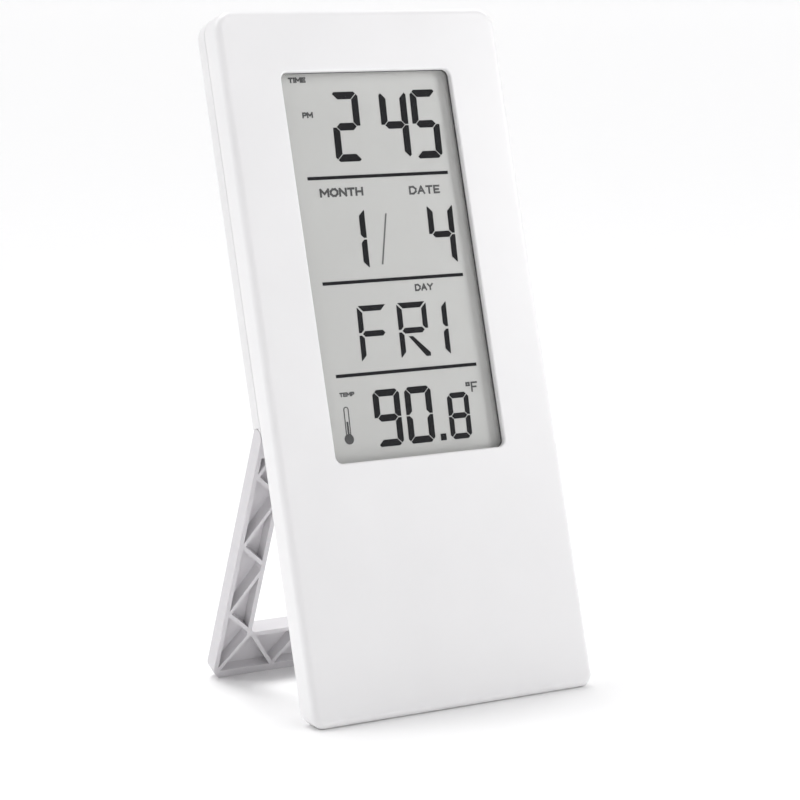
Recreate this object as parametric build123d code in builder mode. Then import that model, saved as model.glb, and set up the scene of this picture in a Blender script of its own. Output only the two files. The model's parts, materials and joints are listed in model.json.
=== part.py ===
from build123d import *
import os
from math import ceil, cos, radians, sin, tan

# A slim desk clock that leans back on a fold-out ribbed stand. Lengths are in millimetres.
# +X is to the right seen from the front, +Y is to the back and +Z is up. The clock stands on Z = 0,
# and X = 0, Y = 0 is the middle of the space that it takes up with the stand open.

# Case
lean_angle = 16.6
side_border = 15.8
top_border = 15.85
bottom_border = 62.95
corner_radius = 5.0
foot_corner_radius = 3.2
front_edge_radius = 1.8
rear_edge_radius = 2.0
seam_chamfer = 0.3
rim_depth = 7.0
block_depth = 12.2
step_height = 74.3
side_wall = 1.8
front_wall = 2.0
rear_wall = 1.6
floor_wall = 1.4
lip_wall = 1.2

# Window and display
window_width = 48.4
window_height = 97.2
window_radius = 1.9
window_edge_radius = 0.5
lens_lap = 3.5
lens_thickness = 1.0
lens_rib = 0.8
glass_lap = 2.5
glass_ledge = 3.0
glass_thickness = 0.7
polariser_thickness = 0.2
reflector_thickness = 0.3
polariser_margin = 0.5
display_gap = 0.1
frame_wall = 2.35
frame_thickness = 2.2
frame_rail = 1.85
foam_margin = 1.5
foam_width = 3.0
zebra_width = 2.0
zebra_length = 48.0

# Board and what it carries
board_side_gap = 1.85
board_end_gap = 4.35
board_step_gap = 6.1
board_depth = 7.2
board_thickness = 1.2
board_boss_gap = 0.8
board_screw_low_inset = 6.0
board_screw_high_inset = 10.5
board_boss_radius = 2.2
board_screw_radius = 0.8
board_screw_head_radius = 1.7
board_screw_head = 1.0
chip_radius = 6.0
chip_height = 1.3
chip_slope = 50.0
chip_rise = 26.0
crystal_radius = 1.0
crystal_length = 6.0
crystal_across = 16.0
crystal_rise = 22.0
small_part_size = (2.0, 1.2, 0.6)
small_part_pitch = (4.0, 4.5)
small_part_counts = (3, 3)
small_part_across = -17.0
small_part_rise = 22.0
switch_size = 4.5
switch_height = 0.8
switch_dome_radius = 1.1
switch_dome_height = 0.2
bead_radius = 1.2
bead_rise = 2.3
leg_radius = 0.25
leg_spread = 1.2
leg_length = 4.0

# Rear buttons
button_row_rise = 50.0
button_pitch = 16.0
button_radius = 3.0
button_gap = 0.2
button_proud = 0.5
button_edge = 0.3
button_flange_radius = 4.0
button_flange = 0.6
button_post_radius = 1.2
button_rest_gap = 0.05
button_travel = 0.35

# Battery bay, cells and contacts
island_bottom = 17.4
island_corner = 2.5
island_end_wall = 2.8
island_side_wall = 3.7
island_cavity_wall = 2.0
hump_end_wall = 3.7
cell_radius = 5.25
cell_length = 44.5
cell_nub_radius = 1.9
cell_nub = 0.8
cell_edge = 0.4
cell_gap = 0.1
cell_spacing = 0.7
contact_room = 2.05
bay_floor = 0.8
bay_wall = 1.2
bay_front_gap = 0.3
door_thickness = 1.2
door_ledge = 1.0
door_tongue = 0.8
door_tongue_thickness = 0.6
door_ridge = 0.4
door_ridge_pitch = 2.2
door_ridge_count = 5
door_ridge_width = 1.1
door_ridge_length = 16.0
contact_thickness = 0.4
contact_half_height = 4.8
contact_dome = 0.6
contact_dome_radius = 1.8
contact_dome_taper = 30.0
leaf_width = 5.0
leaf_half_height = 4.0
leaf_thickness = 0.3
tab_width = 2.4
tab_length = 2.3
tab_depth = 4.2

# Battery wires
wire_radius = 0.6
wire_spread = 2.0
wire_end_inset = 9.0
wire_frame_drop = 5.0
wire_turn_low = 5.0
wire_turn_high = 1.0
wire_hump = 0.2
wire_overlap = 5.5
wire_bend = 3.6

# Sounder and vents
sounder_end_gap = 1.6
sounder_disc_radius = 10.0
sounder_disc = 0.3
sounder_ceramic_radius = 7.0
sounder_ceramic = 0.2
sounder_seat_width = 1.2
sounder_seat = 0.3
sounder_hole_radius = 0.7
sounder_hole_circle = 3.6
sounder_hole_count = 6
vent_count = 5
vent_pitch = 2.6
vent_width = 1.2
vent_length = 6.0
vent_drop = 2.8

# Case screws
case_screw_inset = 5.5
case_screw_rise = 5.6
case_screw_radius = 1.15
case_screw_head_radius = 2.1
case_screw_head = 0.8
case_boss_radius = 2.4
case_seat_radius = 3.0
case_pad = 1.2
low_seat_depth = 6.1
high_seat_depth = 8.0
screw_tip_depth = 2.7

# Stand
stand_swing = 39.8
stand_thickness = 4.5
stand_lift = 0.3
rail_width = 8.7
bar_height = 13.8
stand_corner = 4.0
stand_edge_radius = 0.6
opening_corner = 1.0
channel_wall = 1.2
channel_web = 1.5
channel_top = 4.5
rib_thickness = 1.0
rib_pitch = 20.6
rib_drop = 6.6
bar_ribs = 8
foot_flat = 1.6
pin_radius = 1.5
pin_length = 4.0
lug_height = 6.5

# Clearances
fit_gap = 0.15
side_gap = 0.3
pin_gap = 0.05
stop_gap = 0.05
screw_gap = 0.02
overrun = 4.0

# Outline of the case: its window and the borders round it
body_width = window_width + 2 * side_border
body_height = bottom_border + window_height + top_border

# Directions of the leaning case, and where its front face starts when its flat underside is on the desk
lean = radians(lean_angle)
up_case = Vector(0, sin(lean), cos(lean))
into_case = Vector(0, cos(lean), -sin(lean))
front_reach = front_edge_radius * ((1 + sin(lean)) / cos(lean) - 1)
back_reach = (body_height - rear_edge_radius) * sin(lean) + rear_edge_radius
back_reach += (block_depth - rear_edge_radius) * cos(lean)
case_foot = Vector(0, -(front_reach + back_reach) / 2, 0)


def at_depth(depth):
    """A plane parallel to the front face: x across the case, y up it, z towards the viewer."""
    return Plane(origin=case_foot + into_case * depth, x_dir=(1, 0, 0), z_dir=-into_case)


def at_side(across):
    """A plane square to X: x up the case, y towards the viewer, z along +X."""
    return Plane(origin=case_foot + Vector(across, 0, 0), x_dir=up_case, z_dir=(1, 0, 0))


def in_case(across, height, depth):
    """A point of the leaning case in the clock's own frame."""
    return case_foot + Vector(across, 0, 0) + up_case * height + into_case * depth


def band(width, low, high, mode=Mode.ADD):
    """A rectangle of a sketch, centred across it and reaching from low to high."""
    with Locations((0, (low + high) / 2)):
        Rectangle(width, high - low, mode=mode)


def save(piece, name):
    """Label a finished piece and write it under its name."""
    piece.label = name
    export_step(piece, f"parts/{name}.step")


# Sizes that several pieces share
inner_half_width = body_width / 2 - side_wall
inner_bottom = rim_depth * tan(lean) + side_wall
inner_top = body_height - side_wall
inner_corner = corner_radius - side_wall
lip_half_width = inner_half_width - fit_gap
floor_depth = rim_depth - floor_wall
cavity_half_width = lip_half_width - lip_wall
cavity_top = inner_top - fit_gap - lip_wall
cavity_bottom = step_height + rear_wall
rear_inner_depth = block_depth - rear_wall
window_bottom = bottom_border
window_top = window_bottom + window_height
window_centre = (window_bottom + window_top) / 2
lens_depth = front_wall
lens_back = lens_depth + lens_thickness
lens_width = window_width + 2 * lens_lap
lens_height = window_height + 2 * lens_lap
polariser_depth = lens_back + display_gap
front_glass_depth = polariser_depth + polariser_thickness
rear_glass_depth = front_glass_depth + glass_thickness
reflector_depth = rear_glass_depth + glass_thickness
reflector_back = reflector_depth + reflector_thickness
glass_width = window_width + 2 * glass_lap
frame_half_width = glass_width / 2 + fit_gap + frame_wall
glass_bottom = window_bottom - glass_lap
rear_glass_top = window_top + glass_lap
front_glass_top = rear_glass_top + glass_ledge
board_back = board_depth + board_thickness
board_half_width = cavity_half_width - board_side_gap
board_bottom = cavity_bottom + board_step_gap
board_top = cavity_top - board_end_gap
board_screw_across = frame_half_width + board_boss_gap + board_boss_radius
board_screw_heights = (board_bottom + board_screw_low_inset, board_top - board_screw_high_inset)
case_screw_across = body_width / 2 - case_screw_inset
case_screw_low = inner_bottom + case_screw_rise
case_screw_high = body_height - case_screw_inset
case_screws_low = [(-case_screw_across, case_screw_low), (case_screw_across, case_screw_low)]
case_screws_high = [(-case_screw_across, case_screw_high), (case_screw_across, case_screw_high)]
board_screws = [
    (across, height)
    for across in (-board_screw_across, board_screw_across)
    for height in board_screw_heights
]
button_names = ("set_button", "up_button", "down_button", "unit_button")
button_middle = (len(button_names) - 1) / 2
button_places = {
    name: (button_pitch * (index - button_middle), board_bottom + button_row_rise)
    for index, name in enumerate(button_names)
}
bay_floor_depth = front_wall + bay_front_gap + bay_floor
bay_bottom = island_bottom + island_end_wall
bay_half_length = cell_length / 2 + contact_room
cell_depth = bay_floor_depth + cell_gap + cell_radius
cell_low = bay_bottom + cell_gap + cell_radius
cell_high = cell_low + 2 * cell_radius + cell_spacing
bay_top = cell_high + cell_radius + cell_gap
door_depth = cell_depth + cell_radius + 2 * cell_gap
hump_depth = door_depth + door_thickness
door_half_width = bay_half_length + door_ledge
door_bottom = bay_bottom - door_ledge
hump_top = bay_top + hump_end_wall
island_half_width = bay_half_length + island_side_wall
island_cavity_half_width = island_half_width - island_cavity_wall
island_cavity_bottom = hump_top + rear_wall
sounder_height = island_cavity_bottom + sounder_end_gap + sounder_disc_radius
bead_height = board_top + bead_rise
vent_height = bead_height - vent_drop

# Front shell: the flat front with its window, and the rim behind it
with BuildPart() as front_shell:
    with BuildSketch(at_depth(0)):
        band(body_width, -overrun, body_height)
    extrude(amount=-rim_depth)
    split(bisect_by=Plane.XY, keep=Keep.TOP)
    fillet(front_shell.edges().filter_by(Axis.Y), radius=foot_corner_radius)
    fillet(front_shell.edges().filter_by(Axis(case_foot, into_case)), radius=corner_radius)
    front_face = front_shell.faces().sort_by(Axis(case_foot, into_case))[0]
    fillet(front_face.edges(), radius=front_edge_radius)
    rim_face = front_shell.faces().sort_by(Axis(case_foot, into_case))[-1]
    rim_edges = rim_face.edges().sort_by(Axis(case_foot, up_case))
    upper_rim = rim_edges.filter_by(lambda edge: (edge.center() - case_foot).dot(up_case) > step_height / 2)
    chamfer(upper_rim, length=seam_chamfer)
    # Hollow behind the front wall
    with BuildSketch(at_depth(front_wall)):
        with Locations((0, (inner_bottom + inner_top) / 2)):
            RectangleRounded(2 * inner_half_width, inner_top - inner_bottom, inner_corner)
    extrude(amount=-(rim_depth - front_wall), mode=Mode.SUBTRACT)
    # Rib round the lens
    with BuildSketch(at_depth(front_wall)):
        with Locations((0, window_centre)):
            Rectangle(lens_width + 2 * (fit_gap + lens_rib), lens_height + 2 * (fit_gap + lens_rib))
            Rectangle(lens_width + 2 * fit_gap, lens_height + 2 * fit_gap, mode=Mode.SUBTRACT)
    extrude(amount=-lens_thickness)
    # Screw bosses
    with BuildSketch(at_depth(front_wall)):
        with Locations(case_screws_low):
            Circle(case_boss_radius)
    extrude(amount=-(floor_depth - case_pad - front_wall))
    with BuildSketch(at_depth(front_wall)):
        with Locations(case_screws_high):
            Circle(case_boss_radius)
    extrude(amount=-(floor_depth - front_wall))
    with BuildSketch(at_depth(front_wall)):
        with Locations(board_screws):
            Circle(board_boss_radius)
    extrude(amount=-(board_depth - front_wall))
    with BuildSketch(at_depth(screw_tip_depth)):
        with Locations(case_screws_low + case_screws_high):
            Circle(case_screw_radius + screw_gap)
        with Locations(board_screws):
            Circle(board_screw_radius + screw_gap)
    extrude(amount=-(board_depth - screw_tip_depth), mode=Mode.SUBTRACT)
    # Window
    with BuildSketch(at_depth(0)):
        with Locations((0, window_centre)):
            RectangleRounded(window_width, window_height, window_radius)
    extrude(amount=-front_wall, mode=Mode.SUBTRACT)
    front_face = front_shell.faces().sort_by(Axis(case_foot, into_case))[0]
    fillet(front_face.inner_wires()[0].edges(), radius=window_edge_radius)
save(front_shell.part, "front_shell")

# Sizes of the hinge, which the rear shell and the stand share
hinge_height = step_height - stand_thickness / 2 - stop_gap
hinge_depth = rim_depth + stand_lift + stand_thickness / 2
rail_inner = body_width / 2 - rail_width
lug_half_width = rail_inner - side_gap
knuckle_seat = hinge_depth - rim_depth

# Rear shell: full depth above the step, a thin floor below it, and the raised battery island
with BuildPart() as rear_shell:
    with BuildSketch(at_depth(rim_depth)) as block_outline:
        band(body_width, step_height, body_height)
        fillet(block_outline.vertices().group_by(Axis.Y)[-1], radius=corner_radius)
    extrude(amount=-(block_depth - rim_depth))
    back_face = rear_shell.faces().sort_by(Axis(case_foot, into_case))[-1]
    fillet(back_face.edges().sort_by(Axis(case_foot, up_case))[1:], radius=rear_edge_radius)
    seam_face = rear_shell.faces().sort_by(Axis(case_foot, into_case))[0]
    chamfer(seam_face.edges().sort_by(Axis(case_foot, up_case))[1:], length=seam_chamfer)
    # Floor and locating lip inside the rim of the front shell
    with BuildSketch(at_depth(rim_depth)):
        with Locations((0, (inner_bottom + inner_top) / 2)):
            RectangleRounded(2 * lip_half_width, inner_top - inner_bottom - 2 * fit_gap, inner_corner)
    extrude(amount=floor_wall)
    # Island between the rails of the stand, hinge lugs and battery hump
    with BuildSketch(at_depth(rim_depth)) as island_outline:
        band(2 * island_half_width, island_bottom, cavity_bottom)
        fillet(island_outline.vertices().group_by(Axis.Y)[0], radius=island_corner)
        band(2 * lug_half_width, step_height - lug_height, step_height)
    extrude(amount=-(block_depth - rim_depth))
    with BuildSketch(at_depth(block_depth)) as hump_outline:
        band(2 * island_half_width, island_bottom, hump_top)
        fillet(hump_outline.vertices().group_by(Axis.Y)[0], radius=island_corner)
    extrude(amount=-(hump_depth - block_depth))
    # Cup of the battery bay, in front of the floor
    with BuildSketch(at_depth(bay_floor_depth - bay_floor)):
        band(2 * (bay_half_length + bay_wall), bay_bottom - bay_wall, bay_top + bay_wall)
    extrude(amount=-(floor_depth - bay_floor_depth + bay_floor))
    # Hollow of the upper block and of the island, open to the front
    with BuildSketch(at_depth(floor_depth)):
        with Locations((0, (cavity_bottom + cavity_top) / 2)):
            RectangleRounded(2 * cavity_half_width, cavity_top - cavity_bottom, inner_corner - lip_wall)
        band(2 * island_cavity_half_width, island_cavity_bottom, cavity_bottom + corner_radius)
    extrude(amount=-(rear_inner_depth - floor_depth), mode=Mode.SUBTRACT)
    # Battery bay, door recess and the grooves for the door's tongues
    with BuildSketch(at_depth(hump_depth)):
        band(2 * bay_half_length, bay_bottom, bay_top)
    extrude(amount=hump_depth - bay_floor_depth, mode=Mode.SUBTRACT)
    with BuildSketch(at_depth(hump_depth)):
        band(2 * (door_half_width + fit_gap), door_bottom - fit_gap, hump_top + overrun)
    extrude(amount=hump_depth - door_depth + cell_gap, mode=Mode.SUBTRACT)
    with BuildSketch(at_depth(door_depth + door_tongue_thickness + cell_gap)):
        band(2 * (door_half_width + door_tongue + fit_gap), door_bottom - fit_gap, hump_top + overrun)
    extrude(amount=door_tongue_thickness + 2 * cell_gap, mode=Mode.SUBTRACT)
    # Slots for the contact tabs
    with BuildSketch(at_depth(tab_depth - fit_gap)):
        with Locations((bay_half_length, cell_low), (bay_half_length, cell_high)):
            Rectangle(bay_wall + fit_gap, tab_width + 2 * fit_gap, align=(Align.MIN, Align.CENTER))
    extrude(amount=-(contact_thickness + 2 * fit_gap), mode=Mode.SUBTRACT)
    # Hollow seats that the knuckles of the stand turn in
    for side in (-1, 1):
        with BuildSketch(at_side(side * lug_half_width)):
            with Locations((hinge_height, -rim_depth)):
                Rectangle(step_height - hinge_height, knuckle_seat, align=(Align.MIN, Align.MAX))
            with Locations((hinge_height, -hinge_depth)):
                Circle(knuckle_seat, mode=Mode.SUBTRACT)
        extrude(amount=side * (body_width / 2 - lug_half_width))
    # Bores for the pins of the stand
    for side in (-1, 1):
        with BuildSketch(at_side(side * lug_half_width)):
            with Locations((hinge_height, -hinge_depth)):
                Circle(pin_radius + pin_gap)
        extrude(amount=-side * (pin_length + side_gap), mode=Mode.SUBTRACT)
    # Seats of the case screws
    with BuildSketch(at_depth(floor_depth)):
        with Locations(case_screws_low):
            Circle(case_seat_radius)
    extrude(amount=case_pad)
    with BuildSketch(at_depth(floor_depth)):
        with Locations(case_screws_high):
            Circle(case_seat_radius)
    extrude(amount=-(rear_inner_depth - floor_depth))
    for places, seat, mouth in (
        (case_screws_low, low_seat_depth, rim_depth),
        (case_screws_high, high_seat_depth, block_depth),
    ):
        with BuildSketch(at_depth(seat)):
            with Locations(places):
                Circle(case_screw_head_radius + fit_gap)
        extrude(amount=-(mouth - seat), mode=Mode.SUBTRACT)
        with BuildSketch(at_depth(seat)):
            with Locations(places):
                Circle(case_screw_radius + fit_gap)
        extrude(amount=seat - floor_depth + case_pad, mode=Mode.SUBTRACT)
    # Holes for the buttons, the sound and the air
    with BuildSketch(at_depth(block_depth)):
        with Locations(list(button_places.values())):
            Circle(button_radius + button_gap)
        with Locations((0, vent_height)):
            with GridLocations(vent_pitch, vent_length, vent_count, 1):
                SlotOverall(vent_length, vent_width, rotation=90)
        with Locations((0, sounder_height)):
            Circle(sounder_hole_radius)
            with PolarLocations(sounder_hole_circle, sounder_hole_count):
                Circle(sounder_hole_radius)
    extrude(amount=rear_wall, mode=Mode.SUBTRACT)
    # Ring that carries the sounder
    with BuildSketch(at_depth(rear_inner_depth)):
        with Locations((0, sounder_height)):
            Circle(sounder_disc_radius)
            Circle(sounder_disc_radius - sounder_seat_width, mode=Mode.SUBTRACT)
    extrude(amount=sounder_seat)
save(rear_shell.part, "rear_shell")

# Window lens, glued behind the front wall
with BuildPart() as window_lens:
    with BuildSketch(at_depth(lens_depth)):
        with Locations((0, window_centre)):
            Rectangle(lens_width, lens_height)
    extrude(amount=-lens_thickness)
save(window_lens.part, "window_lens")

# Display cell: two glasses between a clear polariser and a grey reflector
display_layers = {
    "lcd_front_polariser": (polariser_depth, polariser_thickness, rear_glass_top, polariser_margin),
    "lcd_front_glass": (front_glass_depth, glass_thickness, front_glass_top, 0),
    "lcd_rear_glass": (rear_glass_depth, glass_thickness, rear_glass_top, 0),
    "lcd_reflector": (reflector_depth, reflector_thickness, rear_glass_top, polariser_margin),
}
for name, (depth, thickness, top, margin) in display_layers.items():
    with BuildPart() as display_layer:
        with BuildSketch(at_depth(depth)):
            band(glass_width - 2 * margin, glass_bottom + margin, top - margin)
        extrude(amount=-thickness)
    save(display_layer.part, name)

# Display frame: a ring round the glass with two rails that the board presses on
with BuildPart() as lcd_frame:
    with BuildSketch(at_depth(lens_back)):
        pocket_width = glass_width + 2 * fit_gap
        pocket_low = glass_bottom - fit_gap
        pocket_high = front_glass_top + fit_gap
        band(2 * frame_half_width, pocket_low - frame_wall, pocket_high + frame_wall)
        band(pocket_width, pocket_low, pocket_high, mode=Mode.SUBTRACT)
    extrude(amount=-frame_thickness)
    with BuildSketch(at_depth(lens_back + frame_thickness)):
        rail_low = board_bottom + frame_rail
        rail_middle = frame_half_width - frame_rail / 2
        with Locations((-rail_middle, rail_low), (rail_middle, rail_low)):
            Rectangle(frame_rail, front_glass_top - rail_low, align=(Align.CENTER, Align.MIN))
    extrude(amount=-(board_depth - lens_back - frame_thickness))
save(lcd_frame.part, "lcd_frame")

# Rubber connector between the ledge of the front glass and the board
with BuildPart() as zebra_strip:
    with BuildSketch(at_depth(rear_glass_depth)):
        with Locations((0, (rear_glass_top + front_glass_top) / 2)):
            Rectangle(zebra_length, zebra_width)
    extrude(amount=-(board_depth - rear_glass_depth))
save(zebra_strip.part, "zebra_strip")

# Foam that keeps the display against the lens
with BuildPart() as foam_gasket:
    with BuildSketch(at_depth(reflector_back)):
        foam_low = board_bottom + foam_width
        foam_high = rear_glass_top - polariser_margin - foam_margin
        foam_across = glass_width - 2 * (polariser_margin + foam_margin)
        band(foam_across, foam_low, foam_high)
        foam_inner = foam_across - 2 * foam_width
        band(foam_inner, foam_low + foam_width, foam_high - foam_width, mode=Mode.SUBTRACT)
    extrude(amount=-(board_depth - reflector_back))
save(foam_gasket.part, "foam_gasket")

# Main board, cut away round the upper case screws
with BuildPart() as main_pcb:
    with BuildSketch(at_depth(board_depth)):
        band(2 * board_half_width, board_bottom, board_top)
        with Locations(case_screws_high):
            Circle(case_seat_radius + side_gap, mode=Mode.SUBTRACT)
        with Locations(board_screws):
            Circle(board_screw_radius + fit_gap, mode=Mode.SUBTRACT)
    extrude(amount=-board_thickness)
save(main_pcb.part, "main_pcb")

# Bonded chip under its drop of epoxy
with BuildPart() as chip_blob:
    with BuildSketch(at_depth(board_back)):
        with Locations((0, board_bottom + chip_rise)):
            Circle(chip_radius)
    extrude(amount=-chip_height, taper=chip_slope)
save(chip_blob.part, "chip_blob")

# Watch crystal, lying on the board
with BuildPart() as quartz_crystal:
    with BuildSketch(at_side(crystal_across)):
        with Locations((board_bottom + crystal_rise, -(board_back + crystal_radius + screw_gap))):
            Circle(crystal_radius)
    extrude(amount=crystal_length)
save(quartz_crystal.part, "quartz_crystal")

# Resistors and capacitors
with BuildPart() as smd_parts:
    with BuildSketch(at_depth(board_back)):
        with Locations((small_part_across, board_bottom + small_part_rise)):
            with GridLocations(*small_part_pitch, *small_part_counts):
                Rectangle(small_part_size[0], small_part_size[1])
    extrude(amount=-small_part_size[2])
save(smd_parts.part, "smd_parts")

# Flat switches under the buttons
with BuildPart() as tact_switches:
    with BuildSketch(at_depth(board_back)):
        with Locations(list(button_places.values())):
            Rectangle(switch_size, switch_size)
    extrude(amount=-switch_height)
    with BuildSketch(at_depth(board_back + switch_height)):
        with Locations(list(button_places.values())):
            Circle(switch_dome_radius)
    extrude(amount=-switch_dome_height)
save(tact_switches.part, "tact_switches")

# Thermistor bead behind the vents, on two legs that reach the board
with BuildPart() as thermistor:
    bead_depth = board_back + leg_radius + screw_gap
    leg_ends = in_case(0, bead_height - leg_length, bead_depth)
    with BuildSketch(Plane(origin=leg_ends, x_dir=(1, 0, 0), z_dir=up_case)):
        with Locations((-leg_spread / 2, 0), (leg_spread / 2, 0)):
            Circle(leg_radius)
    extrude(amount=leg_length)
    with Locations(in_case(0, bead_height, bead_depth)):
        Sphere(bead_radius)
save(thermistor.part, "thermistor")

# Rear buttons: a cap through the rear wall, a flange behind it and a post over the switch
flange_depth = rear_inner_depth - button_rest_gap
post_depth = board_back + switch_height + switch_dome_height + button_travel + screw_gap
for name, place in button_places.items():
    with BuildPart() as button:
        with BuildSketch(at_depth(flange_depth)):
            with Locations(place):
                Circle(button_radius)
        extrude(amount=-(block_depth + button_proud - flange_depth))
        cap_rim = button.faces().sort_by(Axis(case_foot, into_case))[-1].edges()
        chamfer(cap_rim, length=button_edge)
        with BuildSketch(at_depth(flange_depth)):
            with Locations(place):
                Circle(button_flange_radius)
        extrude(amount=button_flange)
        with BuildSketch(at_depth(flange_depth - button_flange)):
            with Locations(place):
                Circle(button_post_radius)
        extrude(amount=flange_depth - button_flange - post_depth)
    save(button.part, name)

# AAA cells, side by side and head to tail
for name, height, head in (("battery_cell_upper", cell_high, 1), ("battery_cell_lower", cell_low, -1)):
    with BuildPart() as cell:
        nub_tip = head * (bay_half_length - contact_thickness - contact_dome - screw_gap)
        with BuildSketch(at_side(nub_tip)):
            with Locations((height, -cell_depth)):
                Circle(cell_nub_radius)
        extrude(amount=-head * cell_nub)
        with BuildSketch(at_side(nub_tip - head * cell_nub)):
            with Locations((height, -cell_depth)):
                Circle(cell_radius)
        extrude(amount=-head * (cell_length - cell_nub))
        wide_rims = cell.edges().filter_by(GeomType.CIRCLE).filter_by(lambda e: e.radius > cell_nub_radius)
        chamfer(wide_rims, length=cell_edge)
    save(cell.part, name)

# Battery contacts: plates with a pressed dome for a positive end and a bowed leaf for a negative end
leaf_bow = 2 * bay_half_length - 2 * contact_thickness - contact_dome - cell_length - 2 * screw_gap
for name, side, dome_height, leaf_height, tab_height in (
    ("contact_link", -1, cell_low, cell_high, None),
    ("contact_positive", 1, cell_high, None, cell_high),
    ("contact_negative", 1, None, cell_low, cell_low),
):
    with BuildPart() as contact:
        wall = side * bay_half_length
        inner = side * (bay_half_length - contact_thickness)
        heights = [height for height in (dome_height, leaf_height) if height is not None]
        plate_low = min(heights) - contact_half_height
        plate_high = max(heights) + contact_half_height
        with BuildSketch(at_depth(bay_floor_depth)):
            with Locations(((wall + inner) / 2, (plate_low + plate_high) / 2)):
                Rectangle(contact_thickness, plate_high - plate_low)
        extrude(amount=-(2 * cell_radius))
        if dome_height is not None:
            with BuildSketch(at_side(inner)):
                with Locations((dome_height, -cell_depth)):
                    Circle(contact_dome_radius)
            extrude(amount=-side * contact_dome, taper=contact_dome_taper)
        if leaf_height is not None:
            with BuildSketch(at_depth(cell_depth - leaf_width / 2)):
                with BuildLine() as leaf:
                    bow_top = inner - side * (leaf_bow - leaf_thickness / 2)
                    ThreePointArc(
                        (inner, leaf_height - leaf_half_height),
                        (bow_top, leaf_height),
                        (inner, leaf_height + leaf_half_height),
                    )
                trace(line_width=leaf_thickness)
            extrude(amount=-leaf_width)
        if tab_height is not None:
            with BuildSketch(at_depth(tab_depth)):
                with Locations((inner, tab_height)):
                    Rectangle(contact_thickness + tab_length, tab_width, align=(Align.MIN, Align.CENTER))
            extrude(amount=-contact_thickness)
    save(contact.part, name)

# Wires from the contact tabs, up past the display and over the lower edge of the board
wire_start = bay_half_length + tab_length + wire_radius + screw_gap
wire_depth = tab_depth + contact_thickness / 2
wire_board_depth = board_back + wire_radius + screw_gap
wire_middle = (frame_half_width + cavity_half_width) / 2
wire_end_across = board_half_width - wire_end_inset
for name, start_height, across, end_across in (
    ("lead_positive", cell_high, wire_middle - wire_spread / 2, wire_end_across - 2 * wire_spread),
    ("lead_negative", cell_low, wire_middle + wire_spread / 2, wire_end_across),
):
    with BuildPart() as lead:
        with BuildLine() as route:
            FilletPolyline(
                in_case(wire_start, start_height, wire_depth),
                in_case(across, glass_bottom - wire_frame_drop, wire_depth),
                in_case(across, board_bottom - wire_turn_low, wire_depth),
                in_case(across - wire_radius, board_bottom - wire_turn_high, wire_board_depth + wire_hump),
                in_case(end_across, board_bottom + wire_overlap, wire_board_depth),
                radius=wire_bend,
            )
        with BuildSketch(Plane(origin=route.line @ 0, z_dir=route.line % 0)):
            Circle(wire_radius)
        sweep(path=route.wire())
    save(lead.part, name)

# Battery door: a plate with side tongues and grip ridges, which slides up and off
with BuildPart() as battery_door:
    with BuildSketch(at_depth(door_depth)):
        band(2 * door_half_width, door_bottom, hump_top)
    extrude(amount=-door_thickness)
    with BuildSketch(at_depth(door_depth)):
        band(2 * (door_half_width + door_tongue), door_bottom, hump_top)
    extrude(amount=-door_tongue_thickness)
    with BuildSketch(at_depth(hump_depth)):
        with Locations((0, (door_bottom + hump_top) / 2)):
            with GridLocations(0, door_ridge_pitch, 1, door_ridge_count):
                SlotOverall(door_ridge_length, door_ridge_width)
    extrude(amount=-door_ridge)
save(battery_door.part, "battery_door")

# Sounder: a brass disc glued to its ring, with the ceramic on its front
with BuildPart() as piezo_disc:
    with BuildSketch(at_depth(rear_inner_depth - sounder_seat)):
        with Locations((0, sounder_height)):
            Circle(sounder_disc_radius)
    extrude(amount=sounder_disc)
save(piezo_disc.part, "piezo_disc")

with BuildPart() as piezo_ceramic:
    with BuildSketch(at_depth(rear_inner_depth - sounder_seat - sounder_disc)):
        with Locations((0, sounder_height)):
            Circle(sounder_ceramic_radius)
    extrude(amount=sounder_ceramic)
save(piezo_ceramic.part, "piezo_ceramic")

# Screws of the case and of the board
with BuildPart() as case_screws:
    for places, seat in ((case_screws_low, low_seat_depth), (case_screws_high, high_seat_depth)):
        with BuildSketch(at_depth(seat)):
            with Locations(places):
                Circle(case_screw_head_radius)
        extrude(amount=-case_screw_head)
        with BuildSketch(at_depth(seat)):
            with Locations(places):
                Circle(case_screw_radius)
        extrude(amount=seat - screw_tip_depth - screw_gap)
save(case_screws.part, "case_screws")

with BuildPart() as pcb_screws:
    with BuildSketch(at_depth(board_back)):
        with Locations(board_screws):
            Circle(board_screw_head_radius)
    extrude(amount=-board_screw_head)
    with BuildSketch(at_depth(board_back)):
        with Locations(board_screws):
            Circle(board_screw_radius)
    extrude(amount=board_back - screw_tip_depth - screw_gap)
save(pcb_screws.part, "pcb_screws")

# Stand: hinged on its pins and drawn where it stands open
lean_back = radians(stand_swing - lean_angle)
up_leg = Vector(0, -sin(lean_back), cos(lean_back))
leg_front = Vector(0, -cos(lean_back), -sin(lean_back))
pivot = in_case(0, hinge_height, hinge_depth)
knuckle_radius = stand_thickness / 2
leg_reach = (pivot.Z - knuckle_radius * sin(lean_back)) / cos(lean_back)
leg_end = leg_reach + foot_flat * sin(lean_back)
swing = radians(stand_swing)


def leg_side(across):
    """A plane square to X at the hinge: x up the leg, y towards the case, z along +X."""
    return Plane(origin=pivot + Vector(across, 0, 0), x_dir=up_leg, z_dir=(1, 0, 0))


def knuckle_point(turn):
    """A point of the round knuckle in a leg_side plane, turned from the leg's own line."""
    return (knuckle_radius * cos(turn), knuckle_radius * sin(turn))


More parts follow.
